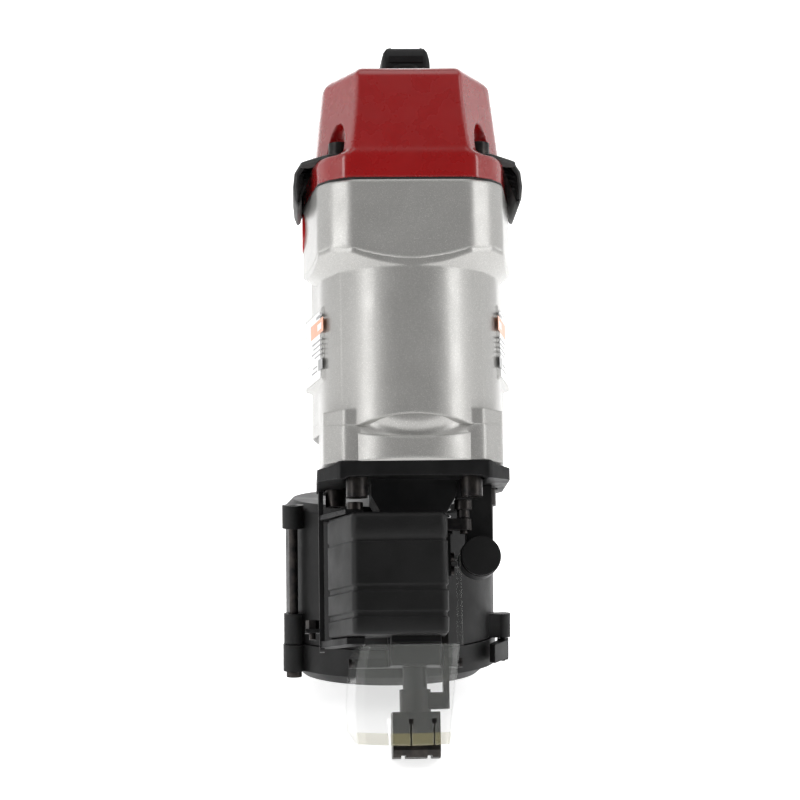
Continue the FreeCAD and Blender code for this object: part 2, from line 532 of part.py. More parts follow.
side_plate = soften(prism("side_plate", "yz", [
    (3, 66), (16, 66), (22, 80), (22, 166.2), (8, 166.2), (3, 158)], (-58, -55)), 3,
    lambda c, d: abs(d.x) > 0.99)
tab_corners = [(-57.5, 3.5), (-42, -28), (-31, -28), (-31, -17), (-49, 14), (-57.5, 14)]
pin_tabs = [prism(f"pin_tab_{i}", "xy", tab_corners, span)
            for i, span in enumerate(((68.4, 72.4), ("cover_top + 0.4", "cover_top + 3.4")))]
screw_tab = box("screw_tab", (-67, -57), (6, 16), (78, 80.5))
finish("hinge_bracket", cut("hinge_bracket", fuse("bracket_solid", side_plate, screw_tab, *pin_tabs),
                            *[rod(f"pin_tab_hole_{i}", "z", 3.3, ("hinge_x", "hinge_y"), span)
                              for i, span in enumerate(((67, 74), ("cover_top", "cover_top + 4")))],
                            rod("tab_screw_hole", "z", 2.3, (-62.4, 11), (77, 82))))
finish("bracket_screw", fuse("bracket_screw", rod("bracket_screw_shank", "z", 2, (-62.4, 11), (74, 81)),
                             prism("bracket_screw_hex", "xy", [
                                 (-62.4 + 4.2 * x, 11 + 4.2 * y) for x, y in (
                                     (1, 0), (0.5, 0.866), (-0.5, 0.866), (-1, 0), (-0.5, -0.866), (0.5, -0.866))],
                                 (80.5, 86))))
finish("door_pin", fuse("door_pin", rod("door_pin_rod", "z", 3, ("hinge_x", "hinge_y"), (69, "cover_top + 4")),
                        rod("door_pin_head", "z", 5, ("hinge_x", "hinge_y"), ("cover_top + 3.4", "cover_top + 8"))))

# nose door with its moulded cover
door_blocks = [
    box("door_block", (-15, 15), (-30, -1.4), (69, 145)),
    box("door_arm", (-37, 10), (-26.5, -19), (76, 144)),
    rod("door_knuckle", "z", 4.8, ("hinge_x", "hinge_y"), ("cover_bottom + 2", "cover_top - 2")),
]
finish("nose_door", cut("nose_door", fuse("door_solid", *door_blocks),
                        rod("door_groove", "z", "channel_radius", (0, 0), (68, 146)),
                        rod("door_pin_bore", "z", 3.3, ("hinge_x", "hinge_y"), ("cover_bottom", "cover_top")),
                        *[rod(f"cover_tap_{z}", "y", 1.6, (0, z), (-31, -20)) for z in (94, 119)]))
cover_outside = soften(prism("cover_outside", "xy", [
    ("19.4", "-12"), ("-20", "-12"), ("-50.5", "-3"), ("-53", "-6"), ("-37", "-45"), ("19.4", "-45")],
    ("cover_bottom", "cover_top")), 2.5, lambda c, d: abs(d.z) > 0.99 and c.y < -40)
cover_hollow = prism("cover_hollow", "xy", [
    ("16.4", "-11"), ("-19", "-11"), ("-50.2", "-1"), ("-50.2", "-4"), ("-35", "-41.5"), ("16.4", "-41.5")],
    ("cover_bottom - 1", "cover_top - cover_wall"))
top_notch = box("cover_top_notch", (-15.5, 15.5), (-31, -11), ("cover_top - 4", "cover_top + 1"))
pin_notch = rod("cover_pin_notch", "z", 5.6, ("hinge_x", "hinge_y"), ("cover_top - 4", "cover_top + 1"))
pads = [box(f"cover_pad_{z}", (-7, 7), (-42, -30.2), (z - 6, z + 6)) for z in (94, 119)]
ribs = [box(f"cover_rib_{z}", (-36, 19.4), (-46.2, -44), (z - 1.2, z + 1.2)) for z in (85, 101, 127, 131)]
cover_holes = [rod(f"cover_hole_{z}", "y", 2.1, (0, z), (-47, -29)) for z in (94, 119)]
cover_holes += [rod(f"cover_sink_{z}", "y", 4, (0, z), (-47, -39)) for z in (94, 119)]
finish("nose_cover", cut("nose_cover", fuse(
    "cover_blocks", cut("cover_shell", cover_outside, cover_hollow, top_notch, pin_notch), *pads, *ribs), *cover_holes))
finish("cover_screws", group("cover_screws", *[
    cap_screw(f"cover_screw_{z}", "y", (0, z), (3.6, 1.5), (-42.5, -39), (-39, -21), (-43, -41)) for z in (94, 119)]))

# latch on the right of the door
finish("latch_pin", fuse("latch_pin", rod("latch_pin_head", "z", 5.5, (30.5, -20), (150, 156)),
                         rod("latch_pin_step", "z", 4, (30.5, -20), (145, 150)),
                         rod("latch_pin_rod", "z", 2.4, (30.5, -20), (135.4, 162))))
finish("door_latch", cut("door_latch", fuse(
    "latch_solid", rod("latch_hub", "z", 5, (30.5, -20), (137.4, 144.4)),
    prism("latch_finger", "xy", [(30.5, -15.5), (30.5, -24.5), (20.3, -24.5), (20.1, -20)], (137.4, 144.4))),
    rod("latch_bore", "z", 2.7, (30.5, -20), (136, 146))))

# contact arm
foot_block = prism("foot_block", "yz", [
    ("-14", "foot_height"), ("14", "foot_height"), (14, 5), (11, 0.8), (7, 0), (-7, 0), (-11, 0.8), (-14, 5)],
    ("-foot_half_width", "foot_half_width"))
foot_parts = [foot_block, rod("foot_neck", "z", 9.6, (0, 0), ("foot_height - 1", 42)),
              box("foot_bridge", (8, 20.8), (-6, 6), (30, 40)), box("foot_arm", (17.3, 20.8), (-6, 6), (30, 128))]
foot_teeth = [box(f"foot_notch_{x}", (x - 1.5, x + 1.5), (-15, 15), (-1, 2)) for x in (-8, 8)]
finish("contact_foot", cut("contact_foot", fuse("foot_solid", *foot_parts),
                           rod("foot_socket", "z", "nozzle_radius + 0.3", (0, 0), (12, 43)),
                           rod("nail_outlet", "z", "channel_radius - 0.3", (0, 0), (-1, 13)),
                           *[rod(f"arm_tap_{z}", "x", 1.6, (0, z), (16, 22)) for z in (115, 123)], *foot_teeth))
arm_strap = prism("arm_strap", "yz", [
    (-6, 128), (6, 128), (10, 134), (34, 138), (34, 159.8), (70, 168.1), (70, 201), (64.5, 201), (64.5, 171.4),
    (28, 163), (28, 147), (-2, 141), (-6, 137)], (17.2, 20.8))
arm_blocks = [box("arm_lap", (20.8, 23.4), (-5, 5), (111, 137)), box("spring_seat", (16.6, 25), (1, 11), (138, 144)),
              box("lever_finger", (-4, 20.8), (64.5, 70), (194, 201))]
finish("contact_arm", cut("contact_arm", fuse("arm_solid", arm_strap, *arm_blocks),
                          *[rod(f"lap_hole_{z}", "x", 1.9, (0, z), (20, 24)) for z in (115, 123)]))
finish("arm_screws", group("arm_screws", *[
    cap_screw(f"arm_screw_{z}", "x", (0, z), (3, 1.5), (23.4, 25.6), (17.5, 23.4), (24.6, 26)) for z in (115, 123)]))
finish("contact_spring", coil("contact_spring", "z", 3.4, 0.6, (20.6, 6), (144.1, "plate_bottom - 0.1"), 5))

# debris shield
shield_wall = prism("shield_wall", "xy", [
    (-38.2, 14.5), (-34, -38), (-30, -41), (22, -41), (26, -38), (28.2, 14.5),
    (27, 14.5), (24.9, -37.4), (21.5, -39.8), (-29.5, -39.8), (-32.9, -37.4), (-37, 14.5)], (20, 67.6))
shield_ear = prism("shield_ear", "yz", [(-34, 66), (6, 66), (6, 74), (-22, 112), (-34, 124)], (27, 28.2))
finish("debris_shield", cut("debris_shield", fuse("shield_solid", shield_wall, shield_ear),
                            box("shield_back_cut", (-50, 50), (-10, 20), (10, 44)),
                            *[box(f"shield_slit_{x}", (x - 0.4, x + 0.4), (-45, -36), (19, 40)) for x in (-18, -5, 8)],
                            rod("shield_hole", "x", 1.9, (10.3, 58.8), (-40, 40))))
finish("shield_screws", group("shield_screws", *[
    cap_screw(f"shield_screw_{side}", "x", (10.3, 58.8), (3, 1.4), sorted((side * 5 + mid, side * 7 + mid)),
              sorted((mid - side * 4, mid + side * 5)), sorted((mid + side * 6, mid + side * 8)))
    for side, mid in ((-1, -33.2), (1, 23.2))]))

# feed cylinder
feed_at = (41, 122)
feed_block = fuse("feed_block", rod("feed_barrel", "y", 12.5, feed_at, (-16, 8)),
                  box("feed_mount", (33, 49), (-12, 4), (122, "plate_bottom - 2")),
                  box("feed_mount_head", (33, 40), (-12, 4), (160, "plate_bottom")))
finish("feed_cylinder", cut("feed_cylinder", feed_block, rod("feed_bore", "y", 10, feed_at, (-17, 4)),
                            rod("feed_rod_hole", "y", 3.1, feed_at, (3, 9))))
finish("feed_cap", rod("feed_cap", "y", 12, feed_at, (-20, -16)))
finish("feed_piston", fuse("feed_piston", rod("pawl_pin", "z", 1.4, (41, 16), (114, 130)), cut("feed_piston_body", fuse(
    "feed_piston_solid", rod("feed_disc", "y", 9.7, feed_at, (-15.5, -11.5)), rod("feed_rod", "y", 2.8, feed_at, (-12, 12)),
    box("pawl_fork", (36, 46), (10.5, 20.5), (115, 129))),
    box("fork_slot", (35, 47), (11.4, 21), (118, 126)))))
finish("feed_piston_spring", coil("feed_piston_spring", "y", 6.4, 0.7, feed_at, (-11.4, 3.9), 3.5))
finish("feed_pawl", cut("feed_pawl", fuse("pawl_solid", rod("pawl_hub", "z", 3.8, (41, 16), (118.4, 125.6)), prism(
    "pawl_arm", "xy", [(41, 19.5), (12, 17.6), (5, 12.6), (5.6, 11.6), (14, 13.6), (41, 12.6)], (118.4, 125.6))),
    rod("pawl_bore", "z", 1.7, (41, 16), (117, 127))))

# ---------------------------------------------------------------- magazine, in its own tilted frame
LATCH_AT = (73.5, -21.5)
roof = "(drum_height - 5)"
drum_bore = "(drum_radius - drum_wall)"
drum_parts = [
    rod("drum_wall_outside", "z", "drum_radius", (0, 0), ("dish_height + 0.5", roof)),
    taper("drum_shoulder", "z", ("drum_radius", "drum_radius - 5"), (0, 0), (roof, "drum_height")),
    rod("upper_hinge_boss", "z", 7, ("pin_x", "pin_y"), ("drum_height - 16", "drum_height - 1")),
    rod("middle_hinge_boss", "z", 6.4, ("pin_x", "pin_y"), ("dish_height + 0.5", "dish_height + 20")),
    rod("latch_boss", "z", 5, LATCH_AT, ("dish_height + 0.5", "dish_height + 16")),
    box("latch_web", (60, 73.5), (-26, -17), ("dish_height + 0.5", "dish_height + 16")),
]
drum_cuts = [
    rod("drum_hollow", "z", drum_bore, (0, 0), ("dish_height - 1", "drum_height - 4")),
    box("nail_exit", (3, 17), (-80, -50), ("dish_height + 8", 96)),
    rod("drum_pin_hole", "z", 3.3, ("pin_x", "pin_y"), ("dish_height - 1", "drum_height + 1")),
]
drum_cuts += [rod(f"bracket_tap_{y}", "z", 2.3, (10, y), ("drum_height - 5", "drum_height + 1")) for y in (24, 32)]
drum = cut("drum", fuse("drum_solid", *drum_parts), *drum_cuts)
latch_stud = rod("magazine_latch_stud", "z", 1.6, LATCH_AT, (2, "dish_height + 10"))
finish("magazine_body", fuse("magazine_body", drum, latch_stud), TILT)

floor_line = [(38, -12.37), (52, -10.03)]
foot_profile = [floor_line[0], floor_line[1], (52, 0), (38, 0)]
foot_spans = [(-46, -24), (24, 46)]
dish_parts = [
    rod("dish_wall_outside", "z", "dish_radius", (0, 0), (0, "dish_height")),
    taper("dish_bottom", "z", ("dish_radius - 12", "dish_radius - 4"), (0, 0), (-7, 0)),
    rod("lower_hinge_boss", "z", 7, ("pin_x", "pin_y"), (0, "dish_height")),
]
dish_cuts = [
    rod("dish_hollow", "z", "dish_radius - 4.5", (0, 0), (3, "dish_height + 1")),
    rod("dish_pin_hole", "z", 3.3, ("pin_x", "pin_y"), (-1, "dish_height + 1")),
]
dish_cuts += [box(f"foot_seat_{i}", span, (38, 52), (-8, 0)) for i, span in enumerate(foot_spans)]
finish("magazine_cover", cut("magazine_cover", fuse("dish_solid", *dish_parts), *dish_cuts), TILT)
finish("rubber_feet", group("rubber_feet", *[
    prism(f"rubber_foot_{i}", "yz", foot_profile, span) for i, span in enumerate(foot_spans)]), TILT)
finish("magazine_pin", fuse("magazine_pin", rod("magazine_pin_rod", "z", 3, ("pin_x", "pin_y"), (-1, "drum_height - 3")),
                            rod("magazine_pin_head", "z", 5, ("pin_x", "pin_y"), (-4, -0.5))), TILT)
finish("magazine_latch", cut("magazine_latch", fuse(
    "magazine_latch_solid", rod("latch_lever_hub", "z", 3.7, LATCH_AT, (3, 17)),
    prism("latch_lever", "xy", [(77.2, -22.4), (73, -18), (70.2, -22.5), (63.4, -39), (66.4, -43.4)], (4, 16))),
    rod("latch_lever_bore", "z", 1.9, LATCH_AT, (2, 18))), TILT)
finish("platform_shaft", fuse("platform_shaft", rod("shaft_rod", "z", 5, (0, 0), (22, "drum_height - 4")),
                              rod("shaft_end", "z", 7, (0, 0), (19, 22.4))), TILT)
finish("nail_platform", cut("nail_platform", fuse(
    "platform_solid", rod("platform_disc", "z", 60, (0, 0), (24, 27)), rod("platform_hub", "z", 10, (0, 0), (24, 44))),
    rod("platform_bore", "z", 5.3, (0, 0), (23, 45))), TILT)

# ---------------------------------------------------------------- bracket from the drum to the handle end
strut = prism("bracket_strut", "yz", [
    (118, 178.5), (164.7, 189.3), (178, 195), (268, 231), ("handle_end", 231), ("handle_end", "handle_z - 26"),
    (252, "handle_z - 26"), (160, 201), (146, 191), (134.6, 186.2), (117.1, 182.1)], (-8, 8))
strut_foot = prism("bracket_foot", "yz", [(118, 178.5), (164.7, 189.3), (163.8, 193.2), (117.1, 182.4)], (-22, 12))
finish("magazine_bracket", cut("magazine_bracket", fuse("strut_solid", strut, strut_foot),
                               *[rod(f"tail_hole_{y}", "z", 2.8, (0, y), (230, 237)) for y in (275, 288)]))
finish("bracket_bolts", group("bracket_bolts", *[
    cap_screw(f"bracket_bolt_{y}", "z", (0, y), (4.8, 2.5), (226, 231), (231, 241), (225, 229)) for y in (275, 288)]))


# ---------------------------------------------------------------- check and write
doc.recompute()
for obj in doc.Objects:
    if "Invalid" in obj.State or "Error" in obj.State:
        raise RuntimeError(f"{obj.Label} is in state {obj.State}")
os.makedirs("parts", exist_ok=True)
for obj in FINISHED:
    if obj.Shape.isNull() or not obj.Shape.isValid() or not obj.Shape.Solids:
        raise RuntimeError(f"{obj.Label} has no valid solid")
    obj.Shape.exportStep(f"parts/{obj.Label}.step")
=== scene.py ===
"""Looks of the pneumatic coil nailer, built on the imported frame.

Shapes are worked out in the tool's own frame (driver axis = Z, handle = +Y, metres) and
turned into the row's frame by TOOL, which is read from the joints in the record.
"""
import json
import math

import bmesh
import bpy
import numpy as np
from mathutils import Matrix, Vector


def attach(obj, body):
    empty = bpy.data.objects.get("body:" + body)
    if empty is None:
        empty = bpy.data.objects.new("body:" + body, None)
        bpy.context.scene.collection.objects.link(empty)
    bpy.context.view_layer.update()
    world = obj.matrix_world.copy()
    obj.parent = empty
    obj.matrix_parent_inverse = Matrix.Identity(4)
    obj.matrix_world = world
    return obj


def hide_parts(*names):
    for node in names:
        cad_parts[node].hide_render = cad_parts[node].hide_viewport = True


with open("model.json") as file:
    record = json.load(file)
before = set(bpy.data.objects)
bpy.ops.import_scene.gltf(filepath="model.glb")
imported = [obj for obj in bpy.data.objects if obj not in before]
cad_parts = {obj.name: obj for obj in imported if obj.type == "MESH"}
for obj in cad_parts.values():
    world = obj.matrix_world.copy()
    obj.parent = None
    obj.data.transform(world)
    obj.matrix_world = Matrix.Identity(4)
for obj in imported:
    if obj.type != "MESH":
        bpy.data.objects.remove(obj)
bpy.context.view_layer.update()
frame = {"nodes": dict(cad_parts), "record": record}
NODES = frame["nodes"]
JOINTS = {joint["name"]: joint for joint in frame["record"]["behaviour"]["joints"]}
MM = 0.001

# ------------------------------------------------------------------ frames
AXIS_Z = Vector(JOINTS["head_valve_lift"]["axis"]).normalized()
AXIS_Y = Vector(JOINTS["feed_stroke"]["axis"]).normalized()
AXIS_X = AXIS_Y.cross(AXIS_Z)
DEFLECTOR_LEVEL = 430 * MM
TOOL_ORIGIN = Vector(JOINTS["deflector_turn"]["pos_m"]) - AXIS_Z * DEFLECTOR_LEVEL
TOOL = Matrix((AXIS_X, AXIS_Y, AXIS_Z)).transposed().to_4x4()
TOOL.translation = TOOL_ORIGIN


# ------------------------------------------------------------------ camera, light and floor
def place_camera():
    """Long lens about 1.45 m in front of the tool, turned slightly towards its -X side."""
    pitch, azimuth, roll = math.radians(9.7), math.radians(2.6), math.radians(-0.93)
    level = math.cos(pitch)
    forward = Vector((math.sin(azimuth) * level, math.cos(azimuth) * level, math.sin(pitch)))
    right = Vector((math.cos(azimuth), -math.sin(azimuth), 0))
    up = right.cross(forward)
    distance, height, offset = 1.453, -0.026, -0.0063
    spot = Vector((-math.sin(azimuth) * distance, -math.cos(azimuth) * distance, height)) + right * offset
    turned_right = right * math.cos(roll) + up * math.sin(roll)
    turned_up = up * math.cos(roll) - right * math.sin(roll)
    pose = Matrix((turned_right, turned_up, -forward)).transposed().to_4x4()
    pose.translation = spot
    data = bpy.data.cameras.new("camera")
    data.lens = 105.9
    data.sensor_width = 36.0
    data.clip_end = 20.0
    camera = bpy.data.objects.new("camera", data)
    bpy.context.scene.collection.objects.link(camera)
    camera.matrix_world = TOOL @ pose
    bpy.context.scene.camera = camera


def area_light(name, spot, target, size, power, tall=None):
    data = bpy.data.lights.new(name, "AREA")
    data.energy = power
    data.size = size
    if tall:
        data.shape = "RECTANGLE"
        data.size_y = tall
    light = bpy.data.objects.new(name, data)
    bpy.context.scene.collection.objects.link(light)
    light.location = spot
    light.rotation_euler = (Vector(target) - Vector(spot)).to_track_quat("-Z", "Y").to_euler()


place_camera()
area_light("strip_left", (-1.15, -0.75, 0.75), (0, 0, 0.25), 0.35, 5, tall=1.3)
area_light("strip_right", (1.15, -0.7, 0.75), (0, 0, 0.25), 0.35, 5, tall=1.3)
area_light("top_soft", (0.0, -0.2, 1.7), (0, 0, 0.2), 1.2, 4.5)
area_light("back_soft", (0.1, 1.7, 1.1), (0, 0, 0.25), 1.4, 2)

world = bpy.data.worlds.new("studio")
world.use_nodes = True
direction = world.node_tree.nodes.new("ShaderNodeTexCoord")
split = world.node_tree.nodes.new("ShaderNodeSeparateXYZ")
fade = world.node_tree.nodes.new("ShaderNodeMapRange")
for socket, setting in (("From Min", -1.0), ("From Max", 1.0), ("To Min", 0.06), ("To Max", 0.50)):
    fade.inputs[socket].default_value = setting
world.node_tree.links.new(direction.outputs["Generated"], split.inputs["Vector"])
world.node_tree.links.new(split.outputs["Y"], fade.inputs["Value"])
world.node_tree.links.new(fade.outputs["Result"], world.node_tree.nodes["Background"].inputs["Strength"])
world.node_tree.nodes["Background"].inputs["Color"].default_value = (1, 1, 1, 1)
bpy.context.scene.world = world
bpy.context.scene.view_settings.view_transform = "Standard"


# ------------------------------------------------------------------ materials
class Paint:
    """Builds one procedural material around a Principled shader, in object coordinates."""

    def __init__(self, name, base, metallic=0.0, rough=0.5, **sockets):
        self.material = bpy.data.materials.new(name)
        self.material.use_nodes = True
        self.tree = self.material.node_tree
        self.shader = self.tree.nodes["Principled BSDF"]
        self.base = base
        self.rough = rough
        self.shader.inputs["Base Color"].default_value = (*base, 1)
        self.shader.inputs["Metallic"].default_value = metallic
        self.shader.inputs["Roughness"].default_value = rough
        for socket, setting in sockets.items():
            self.shader.inputs[socket.replace("_", " ")].default_value = setting
        self.coords = self.tree.nodes.new("ShaderNodeTexCoord").outputs["Object"]
        self.normal = None

    def noise(self, scale, detail=3.0, stretch=None):
        coords = self.coords
        if stretch:
            mapping = self.tree.nodes.new("ShaderNodeMapping")
            mapping.inputs["Scale"].default_value = stretch
            self.tree.links.new(coords, mapping.inputs["Vector"])
            coords = mapping.outputs["Vector"]
        node = self.tree.nodes.new("ShaderNodeTexNoise")
        node.inputs["Scale"].default_value = scale
        node.inputs["Detail"].default_value = detail
        node.inputs["Roughness"].default_value = 0.55
        self.tree.links.new(coords, node.inputs["Vector"])
        return node.outputs["Fac"]

    def cells(self, scale):
        node = self.tree.nodes.new("ShaderNodeTexVoronoi")
        node.inputs["Scale"].default_value = scale
        self.tree.links.new(self.coords, node.inputs["Vector"])
        return node.outputs["Distance"]

    def ramp(self, factor, low, high, from_value, to_value):
        node = self.tree.nodes.new("ShaderNodeMapRange")
        sockets = ("From Min", "From Max", "To Min", "To Max")
        for socket, setting in zip(sockets, (low, high, from_value, to_value)):
            node.inputs[socket].default_value = setting
        self.tree.links.new(factor, node.inputs["Value"])
        return node.outputs["Result"]

    def tint(self, factor, colour, amount, low=0.35, high=0.65):
        """Mix towards colour where factor is high, up to amount."""
        mix = self.tree.nodes.new("ShaderNodeMix")
        mix.data_type = "RGBA"
        old = self.shader.inputs["Base Color"]
        if old.is_linked:
            self.tree.links.new(old.links[0].from_socket, mix.inputs[6])
        else:
            mix.inputs[6].default_value = (*self.base, 1)
        mix.inputs[7].default_value = (*colour, 1)
        self.tree.links.new(self.ramp(factor, low, high, 0.0, amount), mix.inputs[0])
        self.tree.links.new(mix.outputs[2], old)
        return self

    def roughen(self, factor, change):
        result = self.ramp(factor, 0.3, 0.7, self.rough - change, self.rough + change)
        self.tree.links.new(result, self.shader.inputs["Roughness"])
        return self

    def round_edges(self, radius):
        node = self.tree.nodes.new("ShaderNodeBevel")
        node.samples = 4
        node.inputs["Radius"].default_value = radius
        self.normal = node.outputs["Normal"]
        self.tree.links.new(self.normal, self.shader.inputs["Normal"])
        return self

    def bump(self, factor, depth, strength=1.0):
        node = self.tree.nodes.new("ShaderNodeBump")
        node.inputs["Strength"].default_value = strength
        node.inputs["Distance"].default_value = depth
        self.tree.links.new(factor, node.inputs["Height"])
        if self.normal is not None:
            self.tree.links.new(self.normal, node.inputs["Normal"])
        self.normal = node.outputs["Normal"]
        self.tree.links.new(self.normal, self.shader.inputs["Normal"])
        return self


def silver_paint():
    paint = Paint("silver_paint", (0.43, 0.425, 0.41), metallic=0.5, rough=0.34,
                  Coat_Weight=0.35, Coat_Roughness=0.12)
    paint.round_edges(0.0022)
    paint.tint(paint.noise(2600, 1.0), (0.86, 0.85, 0.82), 0.75, 0.55, 0.72)
    paint.tint(paint.noise(9, 4.0), (0.50, 0.49, 0.47), 0.25)
    paint.roughen(paint.noise(60), 0.05)
    paint.bump(paint.noise(260, 3.0), 0.00009, 0.55)
    paint.bump(paint.noise(1500, 2.0), 0.00003, 0.5)
    return paint.material


def red_paint():
    paint = Paint("red_paint", (0.32, 0.001, 0.002), rough=0.28, Coat_Weight=1.0, Coat_Roughness=0.06)
    paint.round_edges(0.0022)
    paint.tint(paint.noise(14, 4.0), (0.26, 0.002, 0.002), 0.5)
    paint.roughen(paint.noise(80), 0.06)
    paint.bump(paint.noise(330, 3.0), 0.00008, 0.5)
    paint.bump(paint.noise(1200, 2.0), 0.00002, 0.4)
    return paint.material


def black_cast():
    paint = Paint("black_cast", (0.005, 0.005, 0.0055), metallic=0.1, rough=0.46, Specular_IOR_Level=0.3)
    paint.round_edges(0.0010)
    paint.tint(paint.noise(35, 5.0), (0.014, 0.014, 0.014), 0.6)
    paint.roughen(paint.noise(90), 0.10)
    paint.bump(paint.noise(700, 4.0), 0.00012, 0.55)
    return paint.material


def black_mould(name="black_mould", rough=0.48, grain=0.00005):
    paint = Paint(name, (0.004, 0.004, 0.0042), rough=rough, Specular_IOR_Level=0.3)
    paint.round_edges(0.0009)
    paint.tint(paint.noise(18, 4.0), (0.011, 0.011, 0.011), 0.6)
    paint.tint(paint.noise(900, 2.0), (0.020, 0.020, 0.020), 0.35, 0.6, 0.8)
    paint.roughen(paint.noise(50), 0.07)
    paint.bump(paint.cells(1700), grain, 0.6)
    return paint.material


def rubber():
    paint = Paint("black_rubber", (0.006, 0.006, 0.006), rough=0.66, Sheen_Weight=0.15)
    paint.tint(paint.noise(40, 5.0), (0.013, 0.013, 0.0125), 0.6)
    paint.roughen(paint.noise(120), 0.08)
    paint.bump(paint.noise(900, 3.0), 0.00008, 0.5)
    return paint.material


def black_oxide():
    paint = Paint("black_oxide", (0.020, 0.019, 0.020), metallic=0.85, rough=0.38)
    paint.round_edges(0.0004)
    paint.tint(paint.noise(160, 4.0), (0.075, 0.065, 0.058), 0.5)
    paint.roughen(paint.noise(300), 0.10)
    paint.bump(paint.noise(1400, 2.0), 0.00002, 0.5)
    return paint.material


def steel(name="ground_steel", base=(0.50, 0.50, 0.50), rough=0.28, lines=(1, 1, 12)):
    paint = Paint(name, base, metallic=1.0, rough=rough)
    paint.round_edges(0.0003)
    paint.tint(paint.noise(25, 4.0), tuple(c * 0.6 for c in base), 0.5)
    paint.roughen(paint.noise(60, stretch=lines), 0.10)
    paint.bump(paint.noise(900, 2.0, stretch=lines), 0.00001, 0.6)
    return paint.material


def clear_film(name="clear_film", base=(0.40, 0.41, 0.39), alpha=0.15):
    paint = Paint(name, base, rough=0.10, IOR=1.46, Alpha=alpha, Coat_Weight=1.0, Coat_Roughness=0.05)
    paint.tint(paint.noise(22, 3.0), tuple(c * 0.8 for c in base), 0.5)
    paint.roughen(paint.noise(45), 0.05)
    paint.bump(paint.noise(30, 2.0), 0.0001, 0.4)
    return paint.material


def film(name, base, rough=0.32):
    paint = Paint(name, base, rough=rough, Coat_Weight=0.4, Coat_Roughness=0.15)
    paint.tint(paint.noise(30, 3.0), tuple(c * 0.86 for c in base), 0.6)
    paint.roughen(paint.noise(140), 0.05)
    paint.bump(paint.noise(700, 2.0), 0.00001, 0.5)
    return paint.material


SILVER = silver_paint()
RED = red_paint()
CAST = black_cast()
MOULD = black_mould()
RUBBER = rubber()
# matte black for the painted shade in the deflector's exhaust slot
SLOT_SHADE = black_mould("painted_slot_shade", 0.8)
OXIDE = black_oxide()
STEEL = steel()
BRASS = steel("turned_brass", (0.55, 0.36, 0.13), 0.3, (1, 1, 8))
ALUMINIUM = steel("turned_aluminium", (0.62, 0.62, 0.63), 0.3, (1, 1, 10))
CLEAR = clear_film()
CLEAR_EDGE = clear_film("clear_film_edge", (0.50, 0.46, 0.27), 0.30)
LABEL = film("label_white", (0.80, 0.80, 0.79))
ORANGE = film("label_orange", (0.80, 0.22, 0.03))
INK = film("label_ink", (0.10, 0.10, 0.10))
BADGE = film("badge_red", (0.50, 0.012, 0.014))

BY_SLOT = {
    "silver_paint": SILVER, "red_paint": RED, "gasket_rubber": RUBBER, "black_plastic": MOULD,
    "black_paint": CAST, "black_oxide": OXIDE, "bright_steel": STEEL,
    "plain_aluminium": ALUMINIUM, "valve_brass": BRASS,
    "clear_shield": CLEAR, "label_white": LABEL, "badge_red": BADGE,
}
SLOT_OF = {part["node"]: part["material_slot"] for part in frame["record"]["subparts"]}
for node, obj in NODES.items():
    for place in obj.material_slots:
        place.material = BY_SLOT[SLOT_OF[node]]


# ------------------------------------------------------------------ mesh helpers
def add_piece(name, verts, faces, material, body, replaced=(), place=TOOL, smooth=True):
    """Make a mesh piece from points in millimetres in the given frame and hand it to its body."""
    mesh = bpy.data.meshes.new(name)
    mesh.from_pydata([tuple(c * MM for c in v) for v in verts], [], faces)
    mesh.transform(place)
    mesh.validate()
    mesh.update()
    build = bmesh.new()
    build.from_mesh(mesh)
    bmesh.ops.remove_doubles(build, verts=build.verts, dist=0.00001)
    bmesh.ops.recalc_face_normals(build, faces=build.faces)
    build.to_mesh(mesh)
    build.free()
    for face in mesh.polygons:
        face.use_smooth = smooth
    mesh.materials.append(material)
    piece = bpy.data.objects.new(name, mesh)
    bpy.context.scene.collection.objects.link(piece)
    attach(piece, body)
    if replaced:
        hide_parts(*replaced)
    return piece


def keep_sharp(piece, degrees=35):
    """Smooth shading that leaves edges above the angle crisp."""
    limit = math.radians(degrees)
    mesh = piece.data
    build = bmesh.new()
    build.from_mesh(mesh)
    for edge in build.edges:
        if len(edge.link_faces) == 2 and edge.calc_face_angle(0) > limit:
            edge.smooth = False
    build.to_mesh(mesh)
    build.free()
    return piece


def ring_faces(rows, count):
    """Quads between successive rings of count points."""
    faces = []
    for row in range(rows - 1):
        a, b = row * count, (row + 1) * count
        for i in range(count):
            j = (i + 1) % count
            faces.append((a + i, a + j, b + j, b + i))
    return faces


def bevel(piece, width):
    modifier = piece.modifiers.new("bevel", "BEVEL")
    modifier.width = width * MM
    modifier.segments = 3
    modifier.limit_method = "ANGLE"
    modifier.angle_limit = math.radians(30)
    modifier.harden_normals = True


NO_HIT = 1e4  # radius given to rays that miss, larger than any part of the tool


def plane(theta, degrees, distance):
    """Radius at which rays at angle theta meet the line with this normal angle and distance."""
    facing = np.cos(theta - math.radians(degrees))
    return np.where(facing > 0.02, distance / np.maximum(facing, 0.02), NO_HIT)


def soft_min(parts, k):
    stack = np.stack([np.broadcast_to(p, parts[0].shape) for p in parts])
    low = stack.min(axis=0)
    return low - k * np.log(np.exp(-(stack - low) / k).sum(axis=0))


def soft_max(parts, k):
    return -soft_min([-p for p in parts], k)


def step(value, low, high):
    t = np.clip((value - low) / (high - low), 0, 1)
    return t * t * (3 - 2 * t)


def both_sides(theta, degrees, distance):
    """The same plane on the +X and -X sides."""
    return np.minimum(plane(theta, degrees, distance), plane(theta, 180 - degrees, distance))


